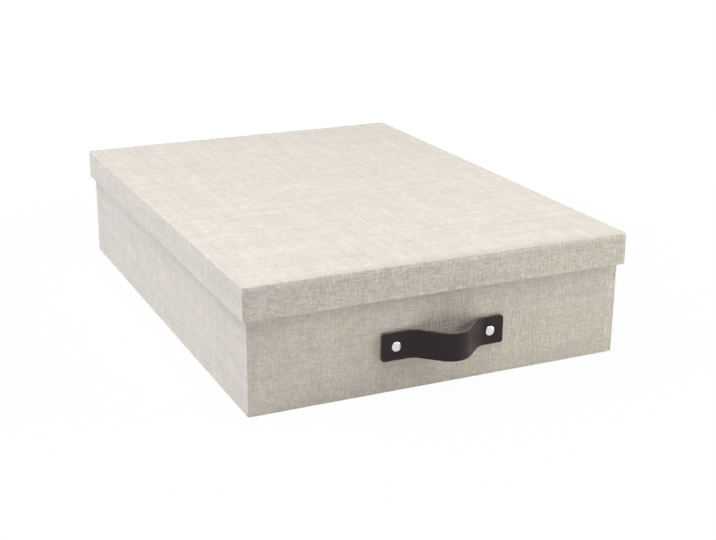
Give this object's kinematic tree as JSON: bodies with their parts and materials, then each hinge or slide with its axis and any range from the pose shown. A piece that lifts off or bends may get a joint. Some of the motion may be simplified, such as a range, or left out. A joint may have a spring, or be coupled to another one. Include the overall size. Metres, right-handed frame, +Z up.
{
  "type": "file box",
  "caption": "Cloth-covered board file box with a lift-off lid and a riveted leather pull strap on its short front face.",
  "frame": {"origin": "middle of the base, on the surface that the box stands on", "axes": "+X along the front face to the right as seen from the front, +Y from the strap's face to the back, +Z up"},
  "size_m": [0.26, 0.3655, 0.082],
  "materials": {
    "cloth": "plain linen weave, matt",
    "board": "grey board, matt",
    "stay_paper": "gummed kraft paper, matt",
    "lining_paper": "smooth paper, matt",
    "base_paper": "smooth paper, matt",
    "strap_leather": "smooth leather, satin",
    "nickel": "polished nickel plate"
  },
  "bodies": {
    "tray": {"tray_base_board": "board", "tray_front_board": "board", "tray_back_board": "board", "tray_left_board": "board", "tray_right_board": "board", "tray_corner_stays": "stay_paper", "tray_wrap": "cloth", "tray_wall_lining": "lining_paper", "tray_floor_lining": "lining_paper", "tray_base_sheet": "base_paper", "handle_strap": "strap_leather", "handle_rivets": "nickel", "rivet_back_caps": "nickel"},
    "lid": {"lid_top_board": "board", "lid_front_board": "board", "lid_back_board": "board", "lid_left_board": "board", "lid_right_board": "board", "lid_corner_stays": "stay_paper", "lid_wrap": "cloth", "lid_lining": "lining_paper"}
  },
  "joints": [
    {"name": "lid_lift", "type": "slide", "parent": "tray", "child": "lid", "axis": [0, 0, 1], "range_m": [0, 0.12]}
  ]
}
